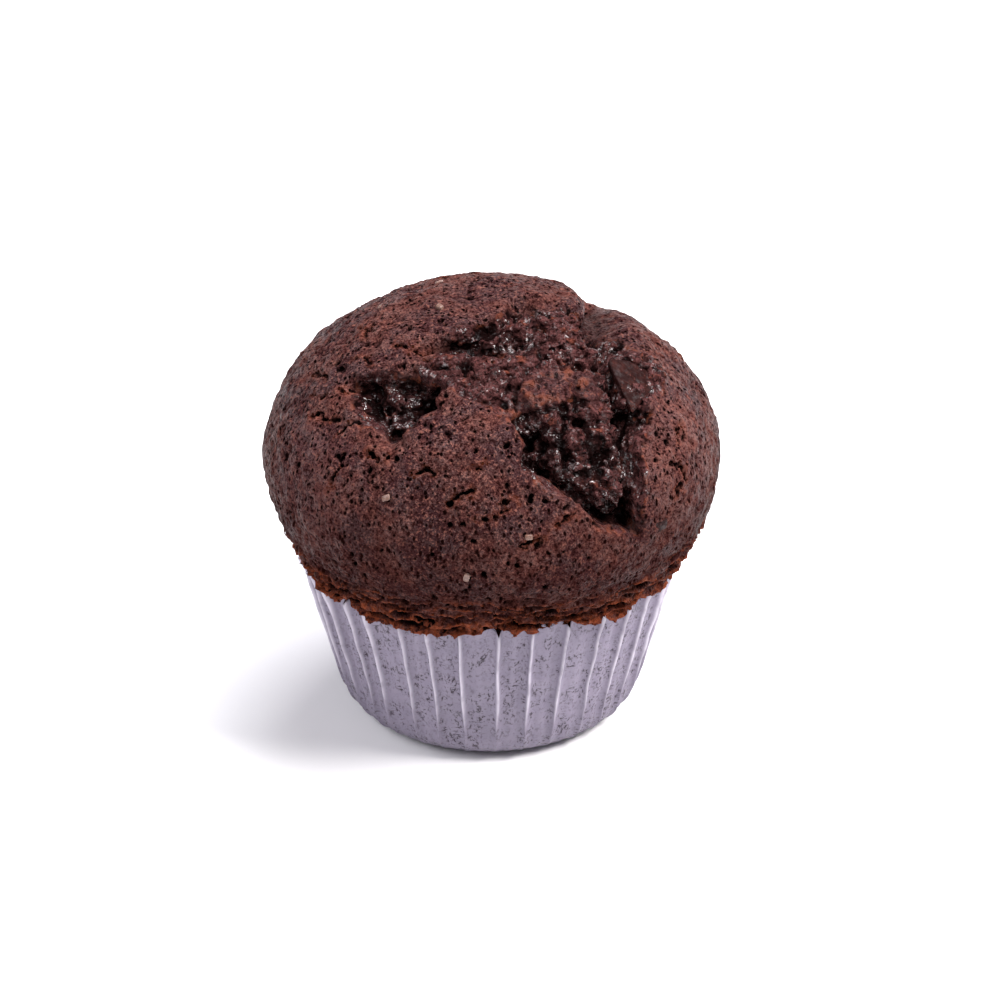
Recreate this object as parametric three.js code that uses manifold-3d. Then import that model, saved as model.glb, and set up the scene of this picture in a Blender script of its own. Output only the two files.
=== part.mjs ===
// A chocolate muffin in its pleated paper case, in millimetres, +Z up.
// The origin is the middle of the case's flat base, where it stands. The front is towards -Y.
// Places on the crown are written [azimuth, elevation] in degrees: azimuth runs from the front
// (-Y) towards the right (+X), and elevation from the crown's widest level (0) to its top (90).
import * as THREE from "three";
import { ConvexGeometry } from "three/addons/geometries/ConvexGeometry.js";
import { mergeVertices } from "three/addons/utils/BufferGeometryUtils.js";
import Module from "manifold-3d";

// Paper case
const BASE_RADIUS = 25; // where the wall's slope would meet the floor
const CORNER_RADIUS = 4.5; // rounding between base and wall
const RIM_RADIUS = 32.6;
const RIM_HEIGHT = 31;
const PAPER_THICKNESS = 0.3;
const PLEAT_COUNT = 35;
const PLEAT_PHASE = 2.5; // azimuth of the first ridge, degrees
const PLEAT_DEPTH = 1.3; // how far a ridge stands out at the rim
const RIDGE_WIDTH = 0.3; // share of a pleat that its ridge takes up
const RIDGE_DIP = 1.1; // a ridge's longer path leaves its rim this much lower

// Cake
const CROWN_LEVEL = 46; // height of the widest circle
const CROWN_RADIUS = 38.6;
const CROWN_RISE = 28; // from the widest circle to the top
const CROWN_SHIFT = 0.5; // the crown leans this far towards +X
const LIP_SWELL = 0.9; // extra radius of the lip that overhangs the rim
const LIP_HEIGHT = 5; // height over which that swelling dies out
const GAP = 0.35; // between touching pieces
const CAKE_SEGMENTS = 84;
const CROWN_STEPS = 28;

// Torn furrows and pits in the crown: a line of places, a depth and a half-width.
const FURROWS = [
  // the pit on the left
  { places: [[-55, 45], [-40, 44], [-26, 50]], depth: 4.2, width: 4 },
  // the crack that runs down to the right
  { places: [[12, 47], [18, 35], [26, 23], [37, 7]], depth: 5.5, width: 4.2 },
  // the tear across the top
  { places: [[-48, 68], [-20, 73], [20, 74], [70, 80]], depth: 2.2, width: 3 },
  // the valley between the dome and its right shoulder
  { places: [[73, 59], [98, 62], [122, 54], [134, 44]], depth: 3.4, width: 5 },
];

// Chocolate: the outline of each piece's outer face, how far it stands out and how deep it reaches.
const CHOCOLATE = [
  {
    name: "chocolate_chunk",
    outline: [[62, 57], [79, 45], [73, 41], [50, 39]],
    proud: 0.7,
    depth: 5.5,
    taper: 0.6,
  },
  {
    name: "chocolate_chip",
    outline: [[44, 4.5], [48.5, 4], [48, 0.5], [44.5, 0]],
    proud: 0.5,
    depth: 2.5,
    taper: 0.5,
  },
];

// Coarse sugar grains lying half sunk in the crust.
const GRAIN_SIZE = [1.7, 1.2, 1.0];
const GRAIN_RISE = 0.15; // how far a grain's middle lies above the crust
const GRAIN_TURN = 1.1; // radians from one grain's heading to the next
const GRAIN_PLACES = [
  [-28, 20],
  [-6, -3],
  [21, 14],
  [9, 11],
  [-110, 59],
  [-94, 77],
  [-145, 66],
  [-165, 24],
  [158, 36],
  [118, 12],
];

const MATERIALS = {
  crumb: new THREE.MeshStandardMaterial({ color: 0x4a2a26, roughness: 0.85, metalness: 0 }),
  paper: new THREE.MeshStandardMaterial({ color: 0xb9b2c2, roughness: 0.8, metalness: 0 }),
  chocolate: new THREE.MeshStandardMaterial({ color: 0x2c1c1c, roughness: 0.5, metalness: 0 }),
  sugar: new THREE.MeshStandardMaterial({ color: 0xc9a795, roughness: 0.35, metalness: 0 }),
};

const radians = THREE.MathUtils.degToRad;
const smoothstep = THREE.MathUtils.smoothstep;

// ---- The case's wall and the crown's surface ----

// Outer radius of the unpleated wall at height z.
function wallRadius(z) {
  const straight = BASE_RADIUS + ((RIM_RADIUS - BASE_RADIUS) * z) / RIM_HEIGHT;
  if (z >= CORNER_RADIUS) return straight;
  const rise = CORNER_RADIUS - z;
  return straight - CORNER_RADIUS + Math.sqrt(CORNER_RADIUS ** 2 - rise ** 2);
}

// Heights that follow the rounded corner at even angles, then the straight wall to its top.
function wallHeights(top, cornerSteps, wallSteps) {
  const heights = [];
  for (let i = 0; i <= cornerSteps; i++) {
    heights.push(CORNER_RADIUS * (1 - Math.cos((Math.PI / 2) * (i / cornerSteps))));
  }
  for (let i = 1; i <= wallSteps; i++) {
    heights.push(CORNER_RADIUS + ((top - CORNER_RADIUS) * i) / wallSteps);
  }
  return heights;
}

// Extra radius of the overhanging lip at height z.
function lipSwell(z) {
  return LIP_SWELL * (1 - smoothstep(z, RIM_HEIGHT, RIM_HEIGHT + LIP_HEIGHT));
}

// The point and outward normal of the smooth crown at [azimuth, elevation].
function crownFrame([azimuth, elevation]) {
  const a = radians(azimuth);
  const e = radians(elevation);
  const outward = new THREE.Vector3(Math.sin(a), -Math.cos(a), 0);
  const point = outward
    .clone()
    .multiplyScalar(CROWN_RADIUS * Math.cos(e))
    .add(new THREE.Vector3(CROWN_SHIFT, 0, CROWN_LEVEL + CROWN_RISE * Math.sin(e)));
  const normal = outward.multiplyScalar(Math.cos(e) / CROWN_RADIUS);
  normal.z = Math.sin(e) / CROWN_RISE;
  return { point, normal: normal.normalize() };
}

const furrowLines = FURROWS.map(({ places, depth, width }) => ({
  depth,
  width,
  points: places.map((place) => crownFrame(place).point),
}));

// How far the furrows press the crown in at a point on its smooth surface.
function furrowDepth(point) {
  const nearest = new THREE.Vector3();
  let total = 0;
  for (const { points, depth, width } of furrowLines) {
    let distance = Infinity;
    for (let i = 1; i < points.length; i++) {
      new THREE.Line3(points[i - 1], points[i]).closestPointToPoint(point, true, nearest);
      distance = Math.min(distance, nearest.distanceTo(point));
    }
    total = Math.max(total, depth * Math.exp(-((distance / width) ** 2)));
  }
  return total;
}

// ---- Geometry helpers ----

// Turns a profile of [radius, height] points into a solid round the Z axis.
function revolve(profile, segments) {
  const points = profile.map(([radius, height]) => new THREE.Vector2(radius, height));
  return new THREE.LatheGeometry(points, segments).rotateX(Math.PI / 2);
}

// Moves every vertex of a geometry with move(vector).
function reshape(geometry, move) {
  const position = geometry.getAttribute("position");
  const vertex = new THREE.Vector3();
  for (let i = 0; i < position.count; i++) {
    move(vertex.fromBufferAttribute(position, i));
    position.setXYZ(i, vertex.x, vertex.y, vertex.z);
  }
  return geometry;
}

const wasm = await Module();
wasm.setup();

function toManifold(geometry) {
  const bare = new THREE.BufferGeometry();
  bare.setAttribute("position", geometry.getAttribute("position"));
  if (geometry.index) bare.setIndex(geometry.index);
  const merged = mergeVertices(bare, 1e-3);
  return new wasm.Manifold(
    new wasm.Mesh({
      numProp: 3,
      vertProperties: new Float32Array(merged.getAttribute("position").array),
      triVerts: new Uint32Array(merged.index.array),
    }),
  );
}

function fromManifold(solid) {
  const mesh = solid.getMesh();
  const geometry = new THREE.BufferGeometry();
  geometry.setAttribute("position", new THREE.BufferAttribute(mesh.vertProperties, 3));
  geometry.setIndex(new THREE.BufferAttribute(mesh.triVerts, 1));
  geometry.computeVertexNormals();
  return geometry;
}

// ---- Paper case ----

// 0 on the flat panels, rising to 1 on the crest of each outward ridge.
function ridgeShape(azimuth) {
  const turn = ((azimuth - PLEAT_PHASE) / 360) * PLEAT_COUNT;
  const fromCrest = Math.abs(turn - Math.round(turn));
  return Math.max(0, 1 - fromCrest / (RIDGE_WIDTH / 2));
}

function pleat(vertex) {
  const radius = Math.hypot(vertex.x, vertex.y);
  if (radius < BASE_RADIUS - CORNER_RADIUS) return;
  const azimuth = THREE.MathUtils.radToDeg(Math.atan2(vertex.x, -vertex.y));
  const ridge = ridgeShape(azimuth);
  const height = smoothstep(vertex.z, 0.5, RIM_HEIGHT);
  const scale = (radius + PLEAT_DEPTH * ridge * height) / radius;
  vertex.x *= scale;
  vertex.y *= scale;
  vertex.z -= RIDGE_DIP * ridge * smoothstep(vertex.z, RIM_HEIGHT - 6, RIM_HEIGHT);
}

function paperCase() {
  const outer = wallHeights(RIM_HEIGHT, 3, 3).map((z) => [wallRadius(z), z]);
  const inner = outer.map(([radius, z]) => [
    radius - PAPER_THICKNESS,
    Math.min(RIM_HEIGHT, Math.max(z, PAPER_THICKNESS)),
  ]);
  const profile = [[0, 0], ...outer, ...inner.reverse(), [0, PAPER_THICKNESS]];
  // Four steps to a pleat, turned so that one of them falls on each crest.
  const geometry = revolve(profile, PLEAT_COUNT * 4).rotateZ(radians(PLEAT_PHASE));
  return reshape(geometry, pleat);
}

// ---- Cake ----

// Leans the crown over and presses the furrows into it.
function relief(vertex) {
  if (vertex.z < RIM_HEIGHT) return;
  const nx = vertex.x / CROWN_RADIUS ** 2;
  const ny = vertex.y / CROWN_RADIUS ** 2;
  const nz = (vertex.z - CROWN_LEVEL) / CROWN_RISE ** 2;
  const normal = new THREE.Vector3(nx, ny, nz).normalize();
  vertex.x += CROWN_SHIFT * smoothstep(vertex.z, RIM_HEIGHT, CROWN_LEVEL);
  vertex.addScaledVector(normal, -furrowDepth(vertex));
}

function cakeBody() {
  const clearance = PAPER_THICKNESS + GAP;
  const lipBottom = RIM_HEIGHT + GAP;
  const stem = wallHeights(lipBottom, 3, 3).map((z) => [
    wallRadius(z) - clearance,
    Math.max(z, clearance),
  ]);
  const lowest = Math.asin((lipBottom - CROWN_LEVEL) / CROWN_RISE);
  const crown = [];
  for (let i = 0; i < CROWN_STEPS; i++) {
    const e = lowest + ((Math.PI / 2 - lowest) * i) / CROWN_STEPS;
    const z = CROWN_LEVEL + CROWN_RISE * Math.sin(e);
    crown.push([CROWN_RADIUS * Math.cos(e) + lipSwell(z), z]);
  }
  const profile = [[0, clearance], ...stem, ...crown, [0, CROWN_LEVEL + CROWN_RISE]];
  return reshape(revolve(profile, CAKE_SEGMENTS), relief);
}

// ---- Chocolate and sugar ----

// A tapering piece: its outer face follows the crown, and its inner end is smaller and sunk.
function chocolateSolid({ outline, proud, depth, taper }) {
  const frames = outline.map(crownFrame);
  const middle = new THREE.Vector3();
  frames.forEach(({ point }) => middle.addScaledVector(point, 1 / frames.length));
  const corners = frames.flatMap(({ point, normal }) => [
    point.clone().addScaledVector(normal, proud),
    point.clone().lerp(middle, taper).addScaledVector(normal, -depth),
  ]);
  return new ConvexGeometry(corners);
}

// A blunt crystal, half sunk at its place and turned by its number.
function grainSolid(place, index) {
  const { point, normal } = crownFrame(place);
  const [length, width, height] = GRAIN_SIZE;
  const crystal = new THREE.BoxGeometry(length, width, height);
  const turn = new THREE.Quaternion().setFromUnitVectors(new THREE.Vector3(0, 0, 1), normal);
  const spin = new THREE.Quaternion().setFromAxisAngle(new THREE.Vector3(0, 0, 1), index * GRAIN_TURN);
  crystal.applyQuaternion(turn.multiply(spin));
  point.addScaledVector(normal, GRAIN_RISE - furrowDepth(point));
  crystal.translate(...point.toArray());
  return crystal;
}

// A convex piece grown about its middle until every face has moved out by the gap.
function grown(geometry) {
  const solid = toManifold(geometry);
  const position = geometry.getAttribute("position");
  const middle = new THREE.Vector3();
  const vertex = new THREE.Vector3();
  for (let i = 0; i < position.count; i++) {
    middle.addScaledVector(vertex.fromBufferAttribute(position, i), 1 / position.count);
  }
  const flat = geometry.index ? geometry.toNonIndexed() : geometry;
  const corners = flat.getAttribute("position");
  const face = new THREE.Triangle();
  const plane = new THREE.Plane();
  let nearest = Infinity;
  for (let i = 0; i < corners.count; i += 3) {
    face.setFromAttributeAndIndices(corners, i, i + 1, i + 2);
    face.getPlane(plane);
    nearest = Math.min(nearest, Math.abs(plane.distanceToPoint(middle)));
  }
  const scale = 1 + GAP / nearest;
  return solid
    .translate(middle.clone().negate().toArray())
    .scale(scale)
    .translate(middle.toArray());
}

// ---- Assembly ----

const muffin = new THREE.Group();

function place(name, geometry, material) {
  const mesh = new THREE.Mesh(geometry, material);
  mesh.name = name;
  muffin.add(mesh);
}

let cake = toManifold(cakeBody());

for (const piece of CHOCOLATE) {
  const geometry = chocolateSolid(piece);
  cake = cake.subtract(grown(geometry));
  place(piece.name, geometry, MATERIALS.chocolate);
}

GRAIN_PLACES.forEach((grainPlace, index) => {
  const geometry = grainSolid(grainPlace, index);
  cake = cake.subtract(grown(geometry));
  place(`sugar_grain_${index + 1}`, geometry, MATERIALS.sugar);
});

place("cake", fromManifold(cake), MATERIALS.crumb);
place("paper_case", paperCase(), MATERIALS.paper);

export default muffin;
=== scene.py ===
"""A chocolate muffin in a pleated paper case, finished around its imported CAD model.

Lengths in the modelling code are millimetres and turn to metres when a mesh is made. Places on the
crown are (azimuth, elevation) in degrees: azimuth from the front (-Y) towards the right (+X), and
elevation from the crown's widest level (0) to its top (90).
"""
import math

import bmesh
import bpy
import numpy as np
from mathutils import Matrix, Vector


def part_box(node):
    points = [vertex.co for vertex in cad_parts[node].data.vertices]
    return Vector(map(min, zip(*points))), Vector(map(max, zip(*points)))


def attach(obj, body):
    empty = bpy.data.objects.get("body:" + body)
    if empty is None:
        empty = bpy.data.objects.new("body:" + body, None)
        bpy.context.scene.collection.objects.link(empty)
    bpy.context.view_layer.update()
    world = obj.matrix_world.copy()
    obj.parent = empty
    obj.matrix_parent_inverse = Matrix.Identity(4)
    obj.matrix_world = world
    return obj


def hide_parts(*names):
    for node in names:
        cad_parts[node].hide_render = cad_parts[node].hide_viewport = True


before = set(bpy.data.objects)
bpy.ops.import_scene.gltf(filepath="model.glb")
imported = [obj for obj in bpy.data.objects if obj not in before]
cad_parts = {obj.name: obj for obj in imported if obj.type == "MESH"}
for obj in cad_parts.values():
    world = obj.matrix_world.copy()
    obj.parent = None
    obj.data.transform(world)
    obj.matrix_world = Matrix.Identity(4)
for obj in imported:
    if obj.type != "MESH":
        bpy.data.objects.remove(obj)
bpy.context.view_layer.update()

MM = 0.001

# ---- Driving dimensions, from the CAD pieces ----
CAKE_LOW, CAKE_HIGH = (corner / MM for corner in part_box("cake"))
PAPER_LOW, PAPER_HIGH = (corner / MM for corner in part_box("paper_case"))
CROWN_RADIUS = (CAKE_HIGH.y - CAKE_LOW.y) / 2
CROWN_SHIFT = (CAKE_HIGH.x + CAKE_LOW.x) / 2
CROWN_TOP = CAKE_HIGH.z
CROWN_LEVEL = 46.0  # height of the widest circle
CROWN_RISE = CROWN_TOP - CROWN_LEVEL
CROWN_DROP = 27.0  # lower half-height of the crown's ellipsoid
RIM_HEIGHT = PAPER_HIGH.z
PLEAT_DEPTH = 1.3
RIM_RADIUS = PAPER_HIGH.y - PLEAT_DEPTH - 0.4
BASE_RADIUS = 25.0
CORNER_RADIUS = 4.5
PLEAT_COUNT = 35
STEM_GAP = 0.8  # from the outside of the case's wall in to the part of the cake inside it
STEM_FLOOR = 0.65  # height of that part's underside
LIP_SWELL = 0.2  # how far the crown's underside stands out from its ellipsoid
SKIRT_OUT = 1.65  # how far the lip hangs outside the case's wall
SKIRT_UP = 2.0  # how far the skirt reaches above the case's rim
SHEET_SPACING = 2.0  # between the crinkled sheets round the lip

# ---- The cake's grid: fine steps over the torn front and top, wider ones elsewhere ----
FINE_STEP = 0.36
WIDE_STEP = 0.60
HIDDEN_STEP = 2.5  # inside the case
FINE_X = (-38, 38)
FINE_Y = (-39, 6)
FINE_Z = (28, 76)
CROWN_FROM = 27.0  # the grid is coarse below this height
GRID_MARGIN = 2.5

# ---- The torn crown ----
TEAR_DEPTH = 0.9
CRATER_DEPTH = 5.8
CRATER_WALL_DEPTH = 4.0
PIT_DEPTH = 3.4
# The outline of everything torn.
TORN = [
    (-52, 41), (-50, 47), (-45, 54), (-42, 59), (-41, 65), (-45, 72), (-40, 79), (-10, 83),
    (100, 86), (121, 81), (119, 75), (107, 69), (97, 61), (85, 51), (80, 43), (69, 39),
    (58, 37), (46, 25), (42, 14), (40, 4), (33, 4), (26, 15), (18, 24), (11, 29),
    (8, 33), (11, 39), (6, 46), (-3, 52), (-14, 55), (-22, 55), (-23, 48), (-27, 39),
    (-34, 36), (-44, 38),
]
# The front crust's edge over the crater, and the crust's edge on the crater's right.
FRONT_EDGE = [(4, 48), (11, 39), (8, 32), (11, 29), (18, 23), (25, 15), (32, 6), (38, 2)]
RIGHT_EDGE = [(55, 38), (47, 31), (43, 23), (41, 14), (40, 4)]
CRATER = FRONT_EDGE + RIGHT_EDGE[::-1] + [(50, 47), (24, 53)]
# The crater fades out towards its upper left corner.
CRATER_CORNER = [(4, 50), (5, 52)]
LEFT_PIT = [
    (-60, 45), (-62, 48), (-54, 54), (-44, 57), (-37, 59), (-24, 58), (-20, 52), (-24, 48),
    (-27, 42), (-30, 37), (-36, 36), (-45, 38), (-53, 41),
]
# The drier, smoother part of the tear, left of the chunk.
DRY_PATCH = [(16, 50), (28, 53), (40, 52)]
# Furrows, or ridges where the depth is negative: a line of places, a depth and a half-width.
FURROWS = [
    ([(-46, 66), (-38, 72), (-22, 73), (-8, 72), (8, 72), (26, 73), (48, 77)], 3.6, 1.4),
    ([(0, 84), (60, 83), (110, 82), (112, 74)], 2.2, 1.4),
    ([(80, 60), (98, 61), (119, 54), (138, 46), (147, 38)], 6.0, 2.9),
    ([(140, 45), (130, 42)], 1.8, 6.5),
    ([(133, 40), (126, 38)], -0.9, 3.0),
    ([(120, 30), (112, 25)], 0.2, 8.0),
    ([(100, 69), (94, 63), (93, 57)], 1.8, 1.2),
    ([(-27, 51), (-31, 49)], 3.0, 2.2),
    ([(-45, 55), (-41, 57)], 2.2, 1.6),
    ([(-31, 38), (-36, 38)], 2.0, 1.4),
    ([(-60, 46), (-55, 46)], 1.8, 1.1),
    ([(6, 57), (14, 52), (15, 47)], 1.8, 1.5),
    ([(68, 58), (76, 55)], 3.0, 1.5),
    ([(63, 57), (54, 49), (49, 42), (49, 37)], 5.0, 0.9),
    ([(67, 58), (75, 50), (73, 43)], -2.1, 1.7),
    ([(59, 60), (66, 60)], -1.2, 1.2),
    ([(48, 39), (38, 41), (30, 43)], 1.6, 1.0),
    ([(24, 33), (32, 30), (38, 31)], 1.6, 1.1),
    ([(63, 63), (66, 61), (66, 58), (64, 56)], 2.8, 1.1),
    ([(-29, 71), (-24, 74)], 2.0, 1.3),
    ([(15, 75), (31, 77)], 2.2, 1.1),
    ([(103, 80), (109, 78)], 2.0, 1.2),
    ([(86, 65), (93, 64)], 2.0, 1.2),
    ([(15, 42), (19, 43)], 1.6, 1.0),
]
# Short open cracks and pits in the crust, the same way.
CRACKS = [
    ([(-51, 32), (-49, 35), (-48, 38), (-44, 40), (-43, 43)], 1.8, 0.40),
    ([(-66, 31), (-62, 34), (-59, 33), (-55, 36), (-51, 37)], 1.8, 0.42),
    ([(-72, 36), (-68, 37), (-66, 39)], 1.5, 0.38),
    ([(-63, 43), (-58, 45), (-57, 48), (-52, 50)], 1.6, 0.40),
    ([(-46, 14), (-45, 17), (-46, 20), (-44, 24)], 2.0, 0.45),
    ([(-11, 21), (-9, 24), (-5, 25)], 2.2, 0.60),
    ([(-4, 17), (0, 18), (4, 20)], 1.6, 0.42),
    ([(7, 8), (10, 10), (13, 10)], 1.7, 0.40),
    ([(15, 13), (18, 16), (21, 15)], 1.5, 0.40),
    ([(26, 12), (30, 10), (34, 11)], 1.7, 0.50),
    ([(1, 20), (3, 23), (7, 23)], 1.5, 0.45),
    ([(-6, 32), (-3, 33), (-2, 36)], 1.5, 0.38),
    ([(-22, 29), (-18, 31), (-16, 30)], 1.5, 0.38),
    ([(-38, 31), (-34, 30), (-31, 32)], 1.6, 0.42),
    ([(57, 13), (57, 16), (55, 20)], 2.0, 0.55),
    ([(53, 10), (55, 13)], 1.4, 0.42),
    ([(60, 25), (62, 28), (66, 29)], 1.3, 0.42),
    ([(-72, 51), (-67, 54), (-61, 54)], 1.5, 0.45),
    ([(-82, 38), (-77, 41), (-73, 42)], 1.5, 0.42),
    ([(-94, 55), (-88, 57), (-80, 57)], 1.3, 0.45),
    ([(-62, 63), (-52, 64), (-46, 67)], 1.7, 0.50),
    ([(150, 40), (156, 44), (163, 45)], 1.8, 0.60),
    ([(-150, 30), (-146, 33), (-140, 33)], 1.6, 0.50),
    ([(-120, 24), (-116, 27), (-111, 27)], 1.7, 0.50),
    ([(104, 29), (110, 33), (117, 33)], 1.6, 0.50),
    ([(-178, 61), (-160, 64), (-148, 62)], 1.6, 0.60),
]

# The lip's lower edge: azimuth and height.
LIP_EDGE = [
    (-95, 32.6), (-66, 31.6), (-54, 29.2), (-45, 30.8), (-37, 29.2), (-23, 28.8), (-17, 30.4),
    (-5, 30.0), (1, 31.4), (13, 30.0), (19, 31.0), (32, 29.4), (39, 28.4), (47, 29.8),
    (57, 29.0), (70, 29.6), (90, 31.8), (118, 29.4), (150, 30.8), (205, 30.4), (235, 29.4),
]


def radians(place):
    return math.radians(place[0]), math.radians(place[1])


def directions(places):
    """Unit vectors on the crown's parameter sphere for (azimuth, elevation) places."""
    angles = np.radians(np.array(places, float))
    azimuth, elevation = angles[:, 0], angles[:, 1]
    across = np.cos(elevation)
    return np.stack([np.sin(azimuth) * across, -np.cos(azimuth) * across, np.sin(elevation)], 1)


def crown_points(places):
    """Points in millimetres on the smooth crown for (azimuth, elevation) places."""
    size = np.array([CROWN_RADIUS, CROWN_RADIUS, CROWN_RISE])
    return directions(places) * size + np.array([CROWN_SHIFT, 0, CROWN_LEVEL])


# ---- Noise: all of it comes from whole-number hashes, so every run is the same ----


def hashed(ix, iy, iz, seed):
    """Pseudo-random numbers from 0 to 1 for whole-number lattice points."""
    h = ix.astype(np.uint32) * np.uint32(374761393)
    h += iy.astype(np.uint32) * np.uint32(668265263)
    h += iz.astype(np.uint32) * np.uint32(2246822519)
    h += np.uint32((seed * 3266489917) & 0xFFFFFFFF)
    h = (h ^ (h >> np.uint32(15))) * np.uint32(2246822519)
    h = (h ^ (h >> np.uint32(13))) * np.uint32(3266489917)
    return ((h ^ (h >> np.uint32(16))) & np.uint32(0xFFFFFF)).astype(np.float32) / 0xFFFFFF


def noise(p, size, seed):
    """Smooth noise from -1 to 1 with features of about that size; p is (n, 3)."""
    q = p / np.float32(size)
    low = np.floor(q)
    t = q - low
    t = t * t * (3 - 2 * t)
    low = low.astype(np.int32)
    total = np.zeros(len(p), np.float32)
    for corner in range(8):
        dx, dy, dz = corner & 1, corner >> 1 & 1, corner >> 2
        weight = (t[:, 0] if dx else 1 - t[:, 0]) * (t[:, 1] if dy else 1 - t[:, 1])
        weight *= t[:, 2] if dz else 1 - t[:, 2]
        total += weight * hashed(low[:, 0] + dx, low[:, 1] + dy, low[:, 2] + dz, seed)
    return total * 2 - 1


def cells(p, size, seed):
    """Distance, in millimetres, to the nearest scattered seed point, and that seed's own number."""
    q = p / np.float32(size)
    low = np.floor(q).astype(np.int32)
    nearest = np.full(len(p), 9.0, np.float32)
    number = np.zeros(len(p), np.float32)
    for step in range(27):
        index = low + np.array([step // 9 - 1, step // 3 % 3 - 1, step % 3 - 1], np.int32)
        ix, iy, iz = index.T
        distance = np.zeros(len(p), np.float32)
        for axis in range(3):
            place = index[:, axis] + hashed(ix, iy, iz, seed + axis)
            distance += (q[:, axis] - place).astype(np.float32) ** 2
        closer = distance < nearest
        nearest[closer] = distance[closer]
        number[closer] = hashed(ix[closer], iy[closer], iz[closer], seed + 7)
    return np.sqrt(nearest) * np.float32(size), number


def ramp(value, start, end):
    """Smooth step from 0 at start to 1 at end."""
    t = np.clip((value - start) / (end - start), 0, 1)
    return t * t * (3 - 2 * t)


def unrolled(p, pole=(5, 50)):
    """Flattens the crown about a pole: millimetres right and up of it, for (n, 3) points."""
    size = np.array([CROWN_RADIUS, CROWN_RADIUS, CROWN_RISE], np.float32)
    q = (p - np.array([CROWN_SHIFT, 0, CROWN_LEVEL], np.float32)) / size
    q /= np.maximum(np.linalg.norm(q, axis=1, keepdims=True), 1e-6)
    azimuth, elevation = radians(pole)
    centre = directions([pole])[0]
    right = np.array([math.cos(azimuth), math.sin(azimuth), 0])
    up = np.cross(centre, right) * -1
    up *= np.sign(up[2])
    angle = np.arccos(np.clip(q @ centre, -1, 1))
    scale = CROWN_RADIUS * angle / np.maximum(np.sin(angle), 1e-4)
    return np.stack([scale * (q @ right), scale * (q @ up)], 1).astype(np.float32)


def line_distance(p, line):
    """Distance from (n, k) points to a polyline of (m, k) points."""
    line = line.astype(np.float32)
    best = np.full(len(p), 1e9, np.float32)
    for a, b in zip(line[:-1], line[1:]):
        along = b - a
        t = np.clip(((p - a) @ along) / max(along @ along, 1e-9), 0, 1)
        gap = p - a - t[:, None] * along
        best = np.minimum(best, np.einsum("ij,ij->i", gap, gap))
    return np.sqrt(best)


def inside_distance(uv, outline):
    """Distance inside a closed flat outline, negative outside it."""
    loop = np.vstack([outline, outline[:1]])
    inside = np.zeros(len(uv), bool)
    for a, b in zip(loop[:-1], loop[1:]):
        crosses = (a[1] > uv[:, 1]) != (b[1] > uv[:, 1])
        rise = b[1] - a[1] if b[1] != a[1] else 1e-9
        inside ^= crosses & (uv[:, 0] < a[0] + (uv[:, 1] - a[1]) * (b[0] - a[0]) / rise)
    return line_distance(uv, loop) * np.where(inside, 1, -1).astype(np.float32)


def flat_places(places):
    """The flat map's points for (azimuth, elevation) places."""
    return unrolled(crown_points(places))


# ---- The cake's solid, as a field that is negative inside ----


def wall_radius(z):
    """Outer radius of the paper case's unpleated wall at height z."""
    straight = BASE_RADIUS + (RIM_RADIUS - BASE_RADIUS) * z / RIM_HEIGHT
    rise = np.clip(CORNER_RADIUS - z, 0, CORNER_RADIUS)
    return straight - CORNER_RADIUS + np.sqrt(CORNER_RADIUS**2 - rise**2)


def lip_floor(azimuth):
    """Height of the lip's lower edge at each azimuth; most of it hangs below the case's rim."""
    places, heights = zip(*LIP_EDGE)
    return np.interp(azimuth, places, heights, period=360).astype(np.float32)


def smooth_crown(p):
    """Rough distance to the crown before anything is torn or pitted."""
    x, y, z = p[:, 0] - CROWN_SHIFT, p[:, 1], p[:, 2] - CROWN_LEVEL
    rise = np.where(z > 0, CROWN_RISE, CROWN_DROP).astype(np.float32)
    k = np.sqrt((x / CROWN_RADIUS) ** 2 + (y / CROWN_RADIUS) ** 2 + (z / rise) ** 2)
    slope = np.sqrt((x / CROWN_RADIUS**2) ** 2 + (y / CROWN_RADIUS**2) ** 2 + (z / rise**2) ** 2)
    field = k * (k - 1) / np.maximum(slope, 1e-5)
    swell = LIP_SWELL * (1 - ramp(p[:, 2], RIM_HEIGHT - 4, RIM_HEIGHT + 10))
    # The skirt hangs down outside the case's pleats.
    skirt = np.hypot(p[:, 0], p[:, 1]) - wall_radius(np.minimum(p[:, 2], RIM_HEIGHT)) - SKIRT_OUT
    skirt = np.maximum(skirt, p[:, 2] - RIM_HEIGHT - SKIRT_UP)
    return np.minimum(field - swell, skirt).astype(np.float32)


def flat_map(value):
    """A fast copy of a function of places on the flat map, read from a table in half millimetres."""
    reach, step = 60, 0.5
    levels = np.arange(-reach, reach + step, step)
    uv = np.stack(np.meshgrid(levels, levels, indexing="ij"), -1).reshape(-1, 2)
    table = value(uv).reshape(len(levels), len(levels)).astype(np.float32)

    def look(uv):
        place = np.clip((uv - levels[0]) / step, 0, len(levels) - 1.01)
        low = place.astype(np.int32)
        t, w = (place - low).T
        i, j = low.T
        near = table[i, j] * (1 - w) + table[i, j + 1] * w
        far = table[i + 1, j] * (1 - w) + table[i + 1, j + 1] * w
        return (near * (1 - t) + far * t).astype(np.float32)

    return look


torn_inside = flat_map(lambda uv: inside_distance(uv, flat_places(TORN)))
crater_inside = flat_map(lambda uv: inside_distance(uv, flat_places(CRATER)))
pit_inside = flat_map(lambda uv: inside_distance(uv, flat_places(LEFT_PIT)))
from_front = flat_map(lambda uv: line_distance(uv, flat_places(FRONT_EDGE)))
from_right = flat_map(lambda uv: line_distance(uv, flat_places(RIGHT_EDGE)))
from_dry = flat_map(lambda uv: line_distance(uv, flat_places(DRY_PATCH)))
from_corner = flat_map(lambda uv: line_distance(uv, flat_places(CRATER_CORNER)))


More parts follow.
